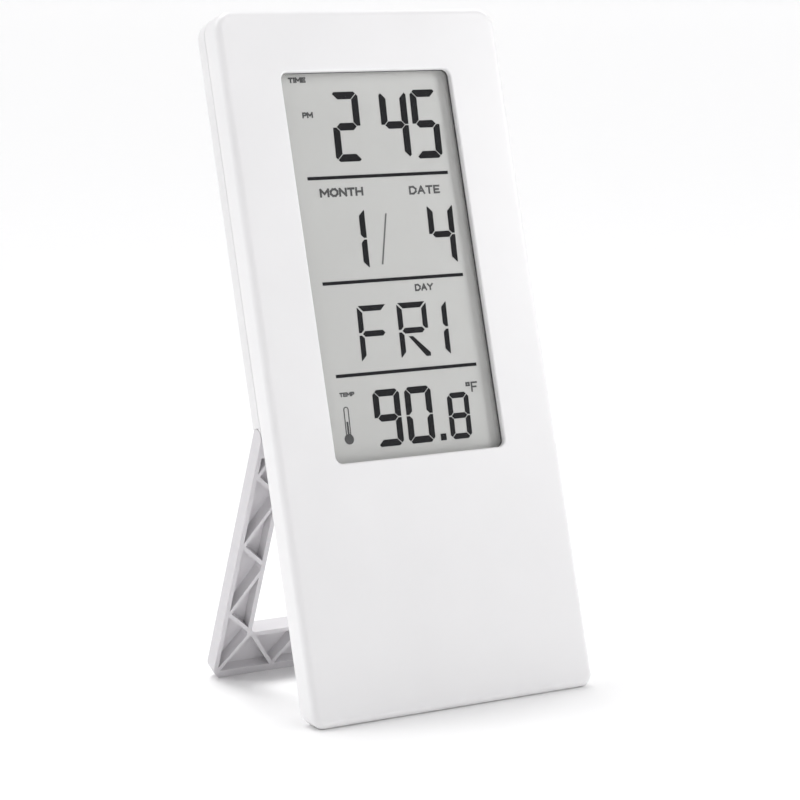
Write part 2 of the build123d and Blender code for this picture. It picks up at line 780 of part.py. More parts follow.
with BuildPart() as stand:
    # Side profile: a round knuckle whose flat heel bears under the step when the leg is open
    with BuildSketch(leg_side(-body_width / 2)):
        with BuildLine():
            front_top = (0, knuckle_radius)
            heel_start = knuckle_point(-swing)
            heel_run = knuckle_radius * (1 - sin(swing)) / cos(swing)
            heel_end = (heel_start[0] - heel_run * sin(swing), -knuckle_radius)
            foot_front = (-leg_end, knuckle_radius)
            foot_back = (-leg_end, -knuckle_radius)
            Polyline(front_top, foot_front, foot_back, heel_end, heel_start)
            ThreePointArc(heel_start, knuckle_point((radians(90) - swing) / 2), front_top)
        make_face()
    extrude(amount=body_width)
    foot_corners = stand.edges().filter_by(Axis(pivot, leg_front)).sort_by(Axis(pivot, up_leg))[:2]
    fillet(foot_corners, radius=stand_corner)
    leg_back = stand.faces().sort_by(Axis(pivot, leg_front))[0]
    fillet(leg_back.edges().sort_by(Axis(pivot, up_leg))[:-1], radius=stand_edge_radius)
    split(bisect_by=Plane.XY, keep=Keep.TOP)
    # Opening between the rails, up past the knuckles
    leg_face = Plane(origin=pivot + leg_front * knuckle_radius, x_dir=(1, 0, 0), z_dir=leg_front)
    bar_top = bar_height - leg_end
    with BuildSketch(leg_face) as gap:
        band(2 * rail_inner, bar_top, overrun)
        fillet(gap.vertices().group_by(Axis.Y)[0], radius=opening_corner)
    extrude(amount=-stand_thickness, mode=Mode.SUBTRACT)
    # Channel in the face towards the case, crossed by ribs: each bay of a rail has a long and a short one
    with BuildSketch(leg_face):
        channel_low = channel_wall + foot_flat - leg_end
        channel_half_width = body_width / 2 - channel_wall
        band(2 * channel_half_width, channel_low, -channel_top)
        band(2 * (rail_inner + channel_wall), bar_top - channel_wall, 0, mode=Mode.SUBTRACT)
        rail_bays = ceil(-bar_top / rib_pitch)
        rail_path = [
            point
            for inner_height in [bar_top + rib_pitch * bay for bay in range(rail_bays + 1)]
            for point in ((rail_inner, inner_height), (channel_half_width, inner_height + rib_drop))
        ]
        bar_path = [
            (rail_inner * (1 - 2 * step / bar_ribs), bar_top if step % 2 == 0 else channel_low)
            for step in range(bar_ribs + 1)
        ]
        with BuildLine():
            for side in (-1, 1):
                Polyline([(side * across, height) for across, height in rail_path])
                Line((side * rail_inner, bar_top), (side * channel_half_width, channel_low))
            Polyline(bar_path)
        trace(line_width=rib_thickness, mode=Mode.SUBTRACT)
    extrude(amount=-(stand_thickness - channel_web), mode=Mode.SUBTRACT)
    # Hinge pins on the inner faces of the rails
    for side in (-1, 1):
        with BuildSketch(leg_side(side * rail_inner)):
            Circle(pin_radius)
        extrude(amount=-side * pin_length)
save(stand.part, "stand")
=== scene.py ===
"""A slim white desk clock with a tall liquid-crystal window, leaning back on a ribbed fold-out stand."""

import json
from math import cos, pi, radians, sin

import bmesh
import bpy
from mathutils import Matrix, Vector


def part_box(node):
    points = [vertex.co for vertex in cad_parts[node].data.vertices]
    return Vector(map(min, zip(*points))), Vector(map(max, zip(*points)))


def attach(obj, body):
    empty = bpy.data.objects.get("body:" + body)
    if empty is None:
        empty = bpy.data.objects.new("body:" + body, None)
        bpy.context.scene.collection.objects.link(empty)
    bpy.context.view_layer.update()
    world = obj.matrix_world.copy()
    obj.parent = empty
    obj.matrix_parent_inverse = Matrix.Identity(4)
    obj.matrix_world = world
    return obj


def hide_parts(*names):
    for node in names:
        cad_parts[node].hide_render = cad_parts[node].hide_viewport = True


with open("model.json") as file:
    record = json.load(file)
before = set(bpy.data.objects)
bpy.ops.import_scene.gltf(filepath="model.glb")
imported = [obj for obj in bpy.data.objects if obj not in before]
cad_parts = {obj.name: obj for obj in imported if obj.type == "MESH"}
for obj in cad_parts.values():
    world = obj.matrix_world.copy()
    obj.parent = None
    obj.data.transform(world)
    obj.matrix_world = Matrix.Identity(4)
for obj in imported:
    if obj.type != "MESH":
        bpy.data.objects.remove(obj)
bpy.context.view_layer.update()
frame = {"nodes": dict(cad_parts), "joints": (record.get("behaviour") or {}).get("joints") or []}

# Where the case stands. It leans back, so places on it are given as millimetres across it, up its
# slope from the front lower edge, and in from its front face.
joints = {joint["name"]: joint for joint in frame["joints"]}
nodes = frame["nodes"]
mm = 0.001
across_case = Vector((1, 0, 0))
up_case = Vector(joints["battery_door_slide"]["axis"]).normalized()
into_case = -Vector(joints["set_button_press"]["axis"]).normalized()
front_depth = min(vertex.co.dot(into_case) for vertex in nodes["front_shell"].data.vertices)
case_foot = Vector((0, front_depth / into_case.y, 0))


def on_case(across, height, depth):
    """A point of the leaning case, from millimetres across, up and into it."""
    return case_foot + (across_case * across + up_case * height + into_case * depth) * mm


# Front shell: the glossy-smooth front half that holds the window. It is injection moulded in
# white ABS, left as it comes from a polished tool, and its rim meets the rear shell in a fine seam.
abs_white = (0.915, 0.91, 0.915)
front_gloss = 0.3


def node_of(tree, kind, **values):
    """A shader node with some of its inputs or settings filled in."""
    node = tree.nodes.new(kind)
    for key, value in values.items():
        if key in node.inputs:
            node.inputs[key].default_value = value
        else:
            setattr(node, key, value)
    return node


def finish(name, colour, rough, grain=900.0, depth=0.00002, mottle=0.03, **sockets):
    """A moulded or painted surface: a mottled colour, uneven gloss and a fine raised grain."""
    material = bpy.data.materials.new(name)
    material.use_nodes = True
    tree = material.node_tree
    skin = tree.nodes["Principled BSDF"]
    for socket, value in sockets.items():
        skin.inputs[socket.replace("_", " ")].default_value = value
    place = node_of(tree, "ShaderNodeTexCoord")
    cloud = node_of(tree, "ShaderNodeTexNoise", Scale=38.0, Detail=3.0)
    tree.links.new(place.outputs["Object"], cloud.inputs["Vector"])
    tint = node_of(tree, "ShaderNodeValToRGB")
    dark, light = tint.color_ramp.elements
    dark.position, light.position = 0.3, 0.7
    dark.color = [c * (1 - mottle) for c in colour] + [1]
    light.color = [min(1, c * (1 + mottle / 2)) for c in colour] + [1]
    tree.links.new(cloud.outputs["Fac"], tint.inputs["Fac"])
    tree.links.new(tint.outputs["Color"], skin.inputs["Base Color"])
    least_rough, most_rough = rough * 0.9, min(1, rough * 1.12)
    sheen = node_of(tree, "ShaderNodeMapRange", **{"To Min": least_rough, "To Max": most_rough})
    tree.links.new(cloud.outputs["Fac"], sheen.inputs["Value"])
    tree.links.new(sheen.outputs["Result"], skin.inputs["Roughness"])
    pits = node_of(tree, "ShaderNodeTexNoise", Scale=grain, Detail=2.0)
    tree.links.new(place.outputs["Object"], pits.inputs["Vector"])
    raised = node_of(tree, "ShaderNodeBump", Strength=0.6, Distance=depth)
    tree.links.new(pits.outputs["Fac"], raised.inputs["Height"])
    tree.links.new(raised.outputs["Normal"], skin.inputs["Normal"])
    return material


def dress(node, material):
    """Give a node of the frame its finish."""
    materials = nodes[node].data.materials
    materials.clear()
    materials.append(material)


dress("front_shell", finish(
    "polished_white_abs", abs_white, rough=front_gloss, grain=420.0, depth=0.000008, mottle=0.015,
))

# Window lens: a clear acrylic plate behind the opening, let into a rib and glued. Light from the
# lamps passes straight through it, so that the display behind it is lit evenly.
lens = bpy.data.materials.new("clear_acrylic")
lens.use_nodes = True
lens_tree = lens.node_tree
acrylic = lens_tree.nodes["Principled BSDF"]
acrylic.inputs["Transmission Weight"].default_value = 1.0
acrylic.inputs["IOR"].default_value = 1.49
acrylic.inputs["Specular IOR Level"].default_value = 0.12
acrylic.inputs["Base Color"].default_value = (0.98, 0.985, 0.98, 1)
lens_place = node_of(lens_tree, "ShaderNodeTexCoord")
wipe_marks = node_of(lens_tree, "ShaderNodeTexNoise", Scale=60.0, Detail=4.0)
lens_tree.links.new(lens_place.outputs["Object"], wipe_marks.inputs["Vector"])
clean_rough, smeared_rough = 0.01, 0.05
wiped = node_of(lens_tree, "ShaderNodeMapRange", **{"To Min": clean_rough, "To Max": smeared_rough})
lens_tree.links.new(wipe_marks.outputs["Fac"], wiped.inputs["Value"])
lens_tree.links.new(wiped.outputs["Result"], acrylic.inputs["Roughness"])
passed = node_of(lens_tree, "ShaderNodeBsdfTransparent")
light_path = node_of(lens_tree, "ShaderNodeLightPath")
lit_through = node_of(lens_tree, "ShaderNodeMath", operation="MAXIMUM")
lens_tree.links.new(light_path.outputs["Is Shadow Ray"], lit_through.inputs[0])
lens_tree.links.new(light_path.outputs["Is Diffuse Ray"], lit_through.inputs[1])
either = node_of(lens_tree, "ShaderNodeMixShader")
lens_tree.links.new(lit_through.outputs["Value"], either.inputs[0])
lens_tree.links.new(acrylic.outputs["BSDF"], either.inputs[1])
lens_tree.links.new(passed.outputs["BSDF"], either.inputs[2])
lens_tree.links.new(either.outputs["Shader"], lens_tree.nodes["Material Output"].inputs["Surface"])
dress("window_lens", lens)

# Painted shade: a thin dark band at the foot of the window's walls, where the lens is bedded. It stands in
# for the shadow in the gap there and follows the window's rounded corners.
shade_band_width, shade_band_top, shade_band_foot, shade_band_steps = 0.06, 1.4, 1.99, 8
painted_shade_finish = finish("painted_shade_finish", (0.1, 0.098, 0.1), rough=0.7, grain=900.0, depth=0.00001, mottle=0.2)
window_half, window_low, window_high, window_round = 24.2, 62.95, 160.15, 1.9


def window_line(inset):
    """The outline of the window, moved in from its walls by a stated distance."""
    reach, radius = window_half - inset, window_round - inset
    corners = (
        (reach - radius, window_high - inset - radius), (radius - reach, window_high - inset - radius),
        (radius - reach, window_low + inset + radius), (reach - radius, window_low + inset + radius),
    )
    return [
        (x + radius * cos(t), s + radius * sin(t))
        for quarter, (x, s) in enumerate(corners)
        for t in (pi / 2 * (quarter + step / shade_band_steps) for step in range(shade_band_steps + 1))
    ]


def piece_of(name, mesh, material):
    """An object in the scene from a mesh that is ready, with one material."""
    data = bpy.data.meshes.new(name)
    mesh.to_mesh(data)
    mesh.free()
    data.materials.append(material)
    piece = bpy.data.objects.new(name, data)
    bpy.context.scene.collection.objects.link(piece)
    return piece


def band(mesh, near_ring, far_ring, smooth=True):
    """A closed band of faces between two rings that have as many points."""
    for i in range(len(near_ring)):
        j = (i + 1) % len(near_ring)
        mesh.faces.new((near_ring[i], near_ring[j], far_ring[j], far_ring[i])).smooth = smooth


shade_band_mesh = bmesh.new()
shade_band_rings = [
    [shade_band_mesh.verts.new(on_case(x, s, depth)) for x, s in window_line(inset)]
    for inset, depth in ((0.0, shade_band_top), (shade_band_width, shade_band_top), (shade_band_width, shade_band_foot), (0.0, shade_band_foot))
]
for ring, following in zip(shade_band_rings, shade_band_rings[1:] + shade_band_rings[:1]):
    band(shade_band_mesh, ring, following, smooth=False)
bmesh.ops.recalc_face_normals(shade_band_mesh, faces=shade_band_mesh.faces)
painted_window_shade = piece_of("painted_window_shade", shade_band_mesh, painted_shade_finish)
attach(painted_window_shade, "case")

# Display cell: two glasses sealed round a film of liquid crystal, with a polariser stuck on the
# front and a grey reflector behind. What shows is the warm grey of the reflector.
display_grey = (0.59, 0.59, 0.577)
dress("lcd_front_polariser", finish(
    "polariser_film", display_grey, rough=0.38, grain=1500.0, depth=0.000004, mottle=0.02,
))
dress("lcd_reflector", finish(
    "brushed_reflector", (0.66, 0.67, 0.64), rough=0.5, grain=1500.0, depth=0.00001,
))
cell_glass = finish("cell_glass", (0.78, 0.82, 0.79), rough=0.06, grain=500.0, depth=0.000002, IOR=1.52)
cell_glass.node_tree.nodes["Principled BSDF"].inputs["Transmission Weight"].default_value = 0.7
for glass in ("lcd_front_glass", "lcd_rear_glass"):
    dress(glass, cell_glass)

# Dark segments of the display: electrodes etched in the shape of each stroke, with a hair of
# clear space where two meet. They are driven dark, and lean a little to the right.
ink_near, ink_far = 3.045, 3.085
lean = 0.045
segment_black = finish(
    "driven_segment", (0.01, 0.01, 0.012), rough=0.6, grain=2500.0, depth=0.000003, mottle=0.3,
    Specular_IOR_Level=0.0,
)


def ink(name, outlines, material, near=ink_near, far=ink_far, body="case"):
    """A group of thin flat shapes on the case, each an outline of (across, height) points."""
    mesh = bmesh.new()
    for outline in outlines:
        flat = mesh.faces.new([mesh.verts.new(on_case(x, s, far)) for x, s in outline])
        grown = bmesh.ops.extrude_face_region(mesh, geom=[flat])["geom"]
        lift = -into_case * (far - near) * mm
        bmesh.ops.translate(mesh, vec=lift, verts=[v for v in grown if isinstance(v, bmesh.types.BMVert)])
    bmesh.ops.recalc_face_normals(mesh, faces=mesh.faces)
    piece = piece_of(name, mesh, material)
    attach(piece, body)


def segments(width, height, stroke, gap, cut):
    """The strokes of a digit from its lower left corner: a at the top, then round to f, and g."""
    t, g, c, mid = stroke, gap, cut, height / 2
    top = [
        (c / 2 + g, height - c / 2), (c + g, height), (width - c - g, height),
        (width - c / 2 - g, height - c / 2), (width - t - g, height - t), (t + g, height - t),
    ]
    upper_left = [
        (c / 2, height - c / 2 - g), (0, height - c - g), (0, mid + g),
        (t / 2, mid + g), (t, mid + t / 2 + g), (t, height - t - g),
    ]
    bar = [
        (t / 2 + g, mid), (t + g, mid + t / 2), (width - t - g, mid + t / 2),
        (width - t / 2 - g, mid), (width - t - g, mid - t / 2), (t + g, mid - t / 2),
    ]
    def flip(outline):
        return [(x, height - s) for x, s in outline]
    def mirror(outline):
        return [(width - x, s) for x, s in outline]
    return {
        "a": top, "d": flip(top), "g": bar, "f": upper_left, "b": mirror(upper_left),
        "e": flip(upper_left), "c": mirror(flip(upper_left)),
    }


def digit(lit, left, low, width, height, stroke, gap=0.14, cut=1.0):
    """The lit strokes of one digit whose lower left corner stands at (left, low)."""
    shapes = segments(width, height, stroke, gap, cut)
    return [[(left + x + s * lean, low + s) for x, s in shapes[key]] for key in lit]


strokes = {"0": "abcdef", "1": "bc", "2": "abged", "4": "fgbc", "5": "afgcd", "8": "abcdefg", "9": "abcdfg"}
time_low, time_height, time_width, time_stroke = 137.7, 17.75, 7.85, 1.9
ink("time_digits", [
    outline
    for figure, left in (("2", -10.75), ("4", 3.15), ("5", 12.2))
    for outline in digit(strokes[figure], left, time_low, time_width, time_height, time_stroke)
], segment_black)

date_low, date_height, date_width, date_stroke, date_cut = 110.5, 15.25, 7.5, 1.6, 0.3
for name, figure, left, gap in (("month_digit", "1", -13.2, 0.22), ("date_digit", "4", 12.4, 0.18)):
    outlines = digit(strokes[figure], left, date_low, date_width, date_height, date_stroke, gap, date_cut)
    ink(name, outlines, segment_black)
slash_grey = finish("thin_segment", (0.11, 0.11, 0.11), rough=0.4, grain=2500.0, depth=0.000003, mottle=0.2)
slash_foot, slash_head, slash_low, slash_high, slash_line = -2.2, 0.85, 111.4, 124.2, 0.45
ink("date_slash", [[
    (slash_foot, slash_low), (slash_foot + slash_line, slash_low),
    (slash_head + slash_line, slash_high), (slash_head, slash_high),
]], slash_grey)

day_low, day_height, day_width, day_stroke, day_gap, day_cut = 87.3, 14.15, 8.5, 1.45, 0.32, 0.15
r_left = -0.45
day_outlines = [
    outline
    for lit, left in (("afeg", -11.75), ("abfeg", r_left), ("bc", 5.4))
    for outline in digit(lit, left, day_low, day_width, day_height, day_stroke, day_gap, day_cut)
]
leg_top, leg_foot = day_height / 2 - day_stroke, day_gap
leg_left, leg_line, leg_end, leg_side = 1.2, 1.2, 1.3, 0.9
day_outlines.append([
    (r_left + x + s * lean, day_low + s)
    for x, s in (
        (day_stroke + leg_left, leg_top), (day_stroke + leg_left + leg_line, leg_top),
        (day_width, leg_foot + leg_side), (day_width, leg_foot), (day_width - leg_end, leg_foot),
    )
])
ink("day_letters", day_outlines, segment_black)

warm_low, warm_height, warm_width, warm_stroke = 66.15, 14.15, 7.6, 1.72
tenth_height, tenth_width, tenth_stroke = 11.7, 6.25, 1.42
point_left, point_right, point_low, point_high, point_lean = 7.35, 9.0, 66.2, 67.9, 0.07
decimal_point = [
    (point_left, point_low), (point_right, point_low),
    (point_right + point_lean, point_high), (point_left + point_lean, point_high),
]
ink("temperature_digits", [
    outline
    for figure, left, width, height, stroke in (
        ("9", -10.85, warm_width, warm_height, warm_stroke),
        ("0", -1.8, warm_width, warm_height, warm_stroke),
        ("8", 10.3, tenth_width, tenth_height, tenth_stroke),
    )
    for outline in digit(strokes[figure], left, warm_low, width, height, stroke)
] + [decimal_point], segment_black)

# Rules: three dark lines between the four bands of the display, etched like the segments. They run
# across the display without a break and are always driven.
rule_left, rule_right, rule_half = -19.6, 20.8, 0.42
rule_heights = (133.85, 107.5, 84.5)
ink("display_rules", [
    [
        (rule_left, height - rule_half), (rule_right, height - rule_half),
        (rule_right, height + rule_half), (rule_left, height + rule_half),
    ]
    for height in rule_heights
], segment_black)

# Small words over each figure, etched like the segments. Each letter has its share of the word's
# width, and then its straight strokes in a unit box.
letter_lines = {
    "A": (1.0, [[(0, 0), (0.5, 1), (1, 0)], [(0.2, 0.34), (0.8, 0.34)]]),
    "C": (0.9, [[(1, 0.8), (0.7, 1), (0.3, 1), (0, 0.7), (0, 0.3), (0.3, 0), (0.7, 0), (1, 0.2)]]),
    "D": (1.0, [[(0, 0), (0, 1), (0.6, 1), (1, 0.7), (1, 0.3), (0.6, 0), (0, 0)]]),
    "E": (0.8, [[(1, 1), (0, 1), (0, 0), (1, 0)], [(0, 0.5), (0.85, 0.5)]]),
    "F": (0.8, [[(1, 1), (0, 1), (0, 0)], [(0, 0.5), (0.85, 0.5)]]),
    "H": (1.0, [[(0, 0), (0, 1)], [(1, 0), (1, 1)], [(0, 0.5), (1, 0.5)]]),
    "I": (0.1, [[(0.5, 0), (0.5, 1)]]),
    "M": (1.25, [[(0, 0), (0, 1), (0.5, 0.35), (1, 1), (1, 0)]]),
    "N": (1.0, [[(0, 0), (0, 1), (1, 0), (1, 1)]]),
    "O": (1.1, [[
        (0.3, 0), (0, 0.3), (0, 0.7), (0.3, 1), (0.7, 1), (1, 0.7), (1, 0.3), (0.7, 0), (0.3, 0),
    ]]),
    "P": (0.85, [[(0, 0), (0, 1), (0.7, 1), (1, 0.85), (1, 0.6), (0.7, 0.45), (0, 0.45)]]),
    "S": (0.9, [[
        (1, 0.85), (0.75, 1), (0.25, 1), (0, 0.82), (0, 0.65), (0.25, 0.52),
        (0.75, 0.48), (1, 0.35), (1, 0.18), (0.75, 0), (0.25, 0), (0, 0.15),
    ]]),
    "T": (0.9, [[(0, 1), (1, 1)], [(0.5, 1), (0.5, 0)]]),
    "Y": (1.0, [[(0, 1), (0.5, 0.5), (1, 1)], [(0.5, 0.5), (0.5, 0)]]),
    "+": (0.9, [[(0, 0.5), (1, 0.5)], [(0.5, 0), (0.5, 1)]]),
    "-": (0.9, [[(0, 0.5), (1, 0.5)]]),
    "/": (0.6, [[(0, 0), (1, 1)]]),
    "'": (0.45, [[(0, 0.7), (0, 1), (1, 1), (1, 0.7), (0, 0.7)]]),
}
letter_space = 0.42


def word(text, across, height, wide, tall, line, slant=lean, facing=1):
    """The strokes of a word centred at (across, height). facing -1 makes it read from behind."""
    room = sum(letter_lines[c][0] for c in text) + letter_space * (len(text) - 1)
    unit, half, shapes = (wide - line) / room, line / 2, []
    pen = -room / 2
    for c in text:
        share, paths = letter_lines[c]
        for path in paths:
            spots = [Vector(((pen + x * share) * unit, (s - 0.5) * (tall - line))) for x, s in path]
            for start, end in zip(spots, spots[1:]):
                along = (end - start).normalized() * half
                aside = Vector((-along.y, along.x))
                first, last = start - along, end + along
                corners = (first - aside, last - aside, last + aside, first + aside)
                shapes.append([(across + facing * (p.x + p.y * slant), height + p.y) for p in corners])
        pen += share + letter_space
    return shapes


word_grey = finish("small_segment", (0.05, 0.05, 0.052), rough=0.4, grain=2500.0, depth=0.000003, mottle=0.2)
for name, text, across, height, wide, tall, line in (
    ("word_time", "TIME", -18.6, 158.7, 4.9, 1.4, 0.42),
    ("word_pm", "PM", -17.0, 149.8, 3.0, 1.5, 0.42),
    ("word_month", "MONTH", -10.6, 130.1, 12.3, 2.2, 0.56),
    ("word_date", "DATE", 13.2, 129.7, 9.0, 2.2, 0.5),
    ("word_day", "DAY", 8.9, 105.0, 5.3, 1.8, 0.44),
    ("word_temp", "TEMP", -17.3, 79.9, 4.2, 1.1, 0.32),
    ("word_fahrenheit", "'F", 18.4, 78.9, 3.4, 2.6, 0.46),
):
    ink(name, word(text, across, height, wide, tall, line), word_grey)

# Thermometer sign: a filled bulb, a fine outline of the tube and the column inside it, etched like
# the small words. The tube leans a little to the right, as the digits do.
bulb_across, bulb_height, bulb_radius = -18.4, 68.9, 1.3
tube_foot, tube_top, tube_half, tube_line, tube_lean = 69.9, 76.2, 0.72, 0.26, 0.25
column_top, column_half, column_lean = 73.2, 0.25, 0.13


def round_outline(across, height, radius, start=0.0, end=2 * pi, steps=24):
    """Points along an arc, turning anticlockwise."""
    turns = [start + (end - start) * i / steps for i in range(steps + 1)]
    return [(across + radius * cos(t), height + radius * sin(t)) for t in turns]


outer_arch = round_outline(bulb_across + tube_lean, tube_top, tube_half, 0, pi)
inner_arch = round_outline(bulb_across + tube_lean, tube_top, tube_half - tube_line, 0, pi)
tube = [
    [outer_arch[i], outer_arch[i + 1], inner_arch[i + 1], inner_arch[i]] for i in range(len(outer_arch) - 1)
]
for side in (-1, 1):
    foot_x = bulb_across + side * tube_half
    head_x = foot_x + tube_lean
    tube.append([
        (foot_x, tube_foot), (foot_x - side * tube_line, tube_foot),
        (head_x - side * tube_line, tube_top), (head_x, tube_top),
    ])
column = [
    (bulb_across - column_half, bulb_height), (bulb_across + column_half, bulb_height),
    (bulb_across + column_lean + column_half, column_top),
    (bulb_across + column_lean - column_half, column_top),
]
ink("thermometer_sign", [round_outline(bulb_across, bulb_height, bulb_radius)[:-1], column] + tube, word_grey)

# Display frame, rubber connector and foam: moulded polystyrene frame, striped elastomer that
# carries the contacts to the board, and a soft grey foam ring. All are only pressed in.
dress("lcd_frame", finish("natural_polystyrene", (0.72, 0.72, 0.69), rough=0.45, grain=600.0, depth=0.00001))
dress("foam_gasket", finish(
    "soft_foam", (0.09, 0.09, 0.095), rough=0.95, grain=1400.0, depth=0.0002, mottle=0.25,
))
connector = finish("striped_elastomer", (0.2, 0.2, 0.22), rough=0.7, grain=1200.0, depth=0.00001)
stripe_tree = connector.node_tree
layers = node_of(stripe_tree, "ShaderNodeTexWave", Scale=700.0, bands_direction="X")
layer_tint = node_of(stripe_tree, "ShaderNodeValToRGB")
layer_tint.color_ramp.elements[0].color = (0.02, 0.02, 0.02, 1)
layer_tint.color_ramp.elements[1].color = (0.42, 0.42, 0.44, 1)
stripe_place = node_of(stripe_tree, "ShaderNodeTexCoord")
stripe_tree.links.new(stripe_place.outputs["Object"], layers.inputs["Vector"])
stripe_tree.links.new(layers.outputs["Fac"], layer_tint.inputs["Fac"])
stripe_tree.links.new(layer_tint.outputs["Color"], stripe_tree.nodes["Principled BSDF"].inputs["Base Color"])
dress("zebra_strip", connector)

# Board: green glass-epoxy with the chip bonded under epoxy, a watch crystal, small resistors and
# capacitors, four flat switches and the thermistor on its two legs. All are soldered.
dress("main_pcb", finish("solder_mask", (0.03, 0.2, 0.08), rough=0.3, grain=300.0, depth=0.00002, mottle=0.2))
dress("chip_blob", finish(
    "bonding_epoxy", (0.012, 0.012, 0.012), rough=0.15, grain=200.0, depth=0.00005, mottle=0.3,
))
dress("quartz_crystal", finish(
    "crystal_can", (0.62, 0.63, 0.64), rough=0.22, grain=700.0, depth=0.000005, mottle=0.05, Metallic=1.0,
))
dress("smd_parts", finish(
    "chip_parts", (0.05, 0.045, 0.04), rough=0.4, grain=900.0, depth=0.00001, mottle=0.5,
))
dress("tact_switches", finish(
    "switch_body", (0.03, 0.03, 0.03), rough=0.45, grain=700.0, depth=0.00001, mottle=0.2,
))
dress("thermistor", finish(
    "thermistor_bead", (0.05, 0.03, 0.02), rough=0.3, grain=700.0, depth=0.00001, mottle=0.3,
))

# Sounder: a thin brass disc with a silvered ceramic bonded to it. Its rim is glued to the ring in the
# rear shell, behind the sound holes.
dress("piezo_disc", finish(
    "brass_disc", (0.7, 0.52, 0.22), rough=0.28, grain=800.0, depth=0.000006, mottle=0.08, Metallic=1.0,
))
dress("piezo_ceramic", finish(
    "silvered_ceramic", (0.7, 0.69, 0.65), rough=0.5, grain=900.0, depth=0.00001, mottle=0.05,
))

# Cells: two AAA cells, side by side and head to tail. Each is a plated steel can in a shrunk plastic
# sleeve, which laps over the shoulder and leaves both ends bare.
can_steel = finish(
    "can_steel", (0.62, 0.62, 0.63), rough=0.26, grain=500.0, depth=0.000006, mottle=0.06, Metallic=1.0,
)
sleeve_blue = finish(
    "shrunk_sleeve", (0.03, 0.1, 0.25), rough=0.25, grain=260.0, depth=0.00002, mottle=0.12, Coat_Weight=0.6,
)
sleeve_grey = finish(
    "sleeve_band", (0.5, 0.51, 0.53), rough=0.3, grain=260.0, depth=0.00002, mottle=0.06, Coat_Weight=0.6,
)


def full_turn(steps):
    """Angles evenly spaced round a full turn."""
    return [2 * pi * i / steps for i in range(steps)]


def turned(name, middle, axis, profile, material, body, steps=48):
    """A turned piece: a profile of (along the axis, radius) in millimetres, spun about the axis."""
    first = axis.orthogonal().normalized()
    second = axis.cross(first)
    mesh = bmesh.new()
    rings = [
        [
            mesh.verts.new(middle + (axis * along + (first * cos(t) + second * sin(t)) * radius) * mm)
            for t in full_turn(steps)
        ]
        for along, radius in profile
    ]
    for near_ring, far_ring in zip(rings, rings[1:]):
        band(mesh, near_ring, far_ring)
    bmesh.ops.recalc_face_normals(mesh, faces=mesh.faces)
    piece = piece_of(name, mesh, material)
    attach(piece, body)


# Each fold of the sleeve is given by how far it lies past the sleeve's end and in from its outside.
head_folds = ((0.5, 0.79), (0.45, 0.5), (0.0, 0.06))
tail_folds = ((-0.3, 0.0), (0.15, 0.3), (0.2, 1.2))
cell_radius, sleeve_wall, sleeve_end, band_end = 5.25, 0.04, 21.2, 12.5
outside = cell_radius + sleeve_wall
shoulder_lap = [(sleeve_end + past, outside - inward) for past, inward in head_folds]
tail_lap = [(-sleeve_end - past, outside - inward) for past, inward in tail_folds]
band_edge = [(band_end, outside)]
for node, head in (("battery_cell_upper", 1), ("battery_cell_lower", -1)):
    dress(node, can_steel)
    low_corner, high_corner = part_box(node)
    middle = (low_corner + high_corner) / 2
    sleeve = node.replace("battery_cell", "cell_sleeve")
    axis = across_case * head
    turned(sleeve, middle, axis, shoulder_lap + band_edge, sleeve_grey, "case")
    turned(sleeve + "_body", middle, axis, band_edge + tail_lap, sleeve_blue, "case")

# Contacts and wires: nickel-plated steel strips in slots of the bay, with tinned wires in
# coloured insulation soldered to their tabs.
nickel = finish(
    "nickel_plate", (0.66, 0.64, 0.6), rough=0.25, grain=500.0, depth=0.000008, mottle=0.06, Metallic=1.0,
)
for strip in ("contact_link", "contact_positive", "contact_negative"):
    dress(strip, nickel)
dress("lead_positive", finish(
    "red_insulation", (0.5, 0.015, 0.015), rough=0.4, grain=800.0, depth=0.00001, mottle=0.08,
))
dress("lead_negative", finish(
    "black_insulation", (0.015, 0.015, 0.015), rough=0.4, grain=800.0, depth=0.00001, mottle=0.2,
))

# Rear shell: the back half in the same white, from a spark-eroded tool that leaves it slightly
# matt. It carries the battery bay and the lugs of the hinge, and four screws pull it to the front.
satin_white = (0.87, 0.865, 0.87)
satin_abs = finish("eroded_white_abs", satin_white, rough=0.5, grain=1100.0, depth=0.00003, mottle=0.02)
dress("rear_shell", satin_abs)

# Signs under the buttons: small plain letters, pad-printed on the back in grey ink. They read from
# behind and say what each button does.
pad_ink = finish("pad_ink", (0.2, 0.2, 0.21), rough=0.55, grain=900.0, depth=0.000004, mottle=0.1)
back_depth = 12.2
sign_drop, sign_film, sign_line = 6.0, 0.02, 0.4
for button, text, wide, tall in (
    ("set_button", "SET", 5.6, 2.0), ("up_button", "+", 2.1, 2.1),
    ("down_button", "-", 2.1, 2.1), ("unit_button", "'C/'F", 8.2, 2.0),
):
    low_corner, high_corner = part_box(button)
    offset = (low_corner + high_corner) / 2 - case_foot
    across, height = offset.x / mm, offset.dot(up_case) / mm
    shapes = word(text, across, height - sign_drop, wide, tall, sign_line, slant=0, facing=-1)
    ink(
        button.replace("button", "sign"), shapes, pad_ink,
        near=back_depth - sign_film, far=back_depth + sign_film,
    )

# Screws: four pan-head tapping screws of zinc-plated steel pull the two shells together from
# behind, and four smaller ones hold the board to its bosses.
zinc = finish(
    "zinc_plate", (0.6, 0.6, 0.61), rough=0.3, grain=600.0, depth=0.00001, mottle=0.08, Metallic=1.0,
)
dress("pcb_screws", zinc)


